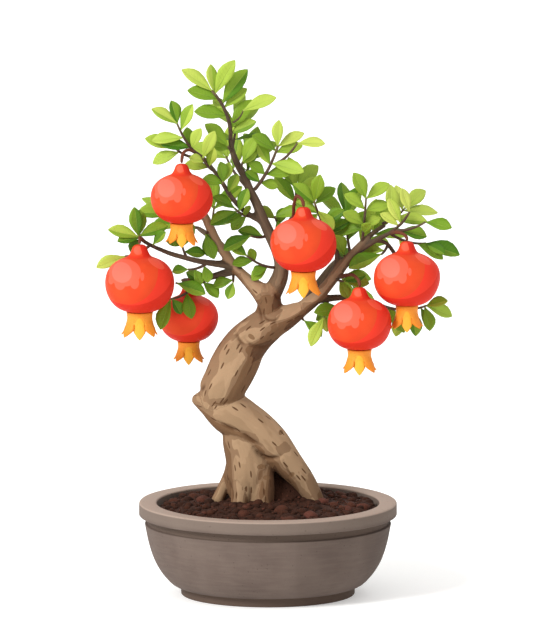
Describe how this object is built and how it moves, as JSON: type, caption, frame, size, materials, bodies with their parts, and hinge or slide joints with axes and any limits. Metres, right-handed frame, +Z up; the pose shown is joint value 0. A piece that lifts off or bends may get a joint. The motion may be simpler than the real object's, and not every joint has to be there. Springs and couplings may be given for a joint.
{
  "type": "pomegranate bonsai",
  "caption": "Dwarf pomegranate bonsai with a bent trunk, red fruit with orange crowns and leafy sprays, planted in a round unglazed stoneware bowl.",
  "frame": {"origin": "middle of the bounding box at the level of the pot's foot, a few millimetres from the pot's own axis", "axes": "+Z up, +Y from front to back, +X to the right seen from the front, along the tree's widest spread"},
  "size_m": [0.2726, 0.194, 0.4058],
  "materials": {
    "pot": "matte",
    "soil": "matte",
    "wood": "matte",
    "fruit": "satin",
    "crown": "matte",
    "leaf": "satin"
  },
  "bodies": {
    "root": {"pot": "pot", "soil": "soil", "wood": "wood", "fruit_1": "fruit", "fruit_2": "fruit", "fruit_3": "fruit", "fruit_4": "fruit", "fruit_5": "fruit", "fruit_6": "fruit", "crown_1": "crown", "crown_2": "crown", "crown_3": "crown", "crown_4": "crown", "crown_5": "crown", "crown_6": "crown", "spray_top": "leaf", "spray_top_right": "leaf", "spray_top_back": "leaf", "spray_left_top": "leaf", "spray_left_mid": "leaf", "spray_inner_left": "leaf", "spray_inner_low": "leaf", "spray_inner_mid": "leaf", "spray_leader_left": "leaf", "spray_leader_right": "leaf", "spray_right_sub": "leaf", "spray_right_sub_side": "leaf", "spray_crown_back": "leaf", "spray_over_two": "leaf", "spray_over_two_left": "leaf", "spray_upright": "leaf", "spray_upright_back": "leaf", "spray_tip_up": "leaf", "spray_tip_right": "leaf", "spray_tip_low": "leaf", "spray_tip_mid": "leaf", "spray_right_in": "leaf", "spray_right_down": "leaf", "spray_bough_side": "leaf", "spray_over_five": "leaf", "spray_low_right": "leaf", "spray_under": "leaf", "spray_under_fork": "leaf", "spray_far_left": "leaf", "spray_far_left_low": "leaf", "spray_left_up": "leaf", "spray_left_up_back": "leaf", "spray_left_hang": "leaf", "spray_left_down": "leaf", "spray_six_over": "leaf", "spray_six_left": "leaf", "spray_six_right": "leaf", "spray_heart_mid": "leaf", "spray_heart_low": "leaf", "spray_back_left": "leaf", "spray_back_left_up": "leaf", "spray_back_mid": "leaf", "spray_back_right": "leaf", "spray_back_right_low": "leaf", "spray_back_top": "leaf"}
  },
  "joints": []
}
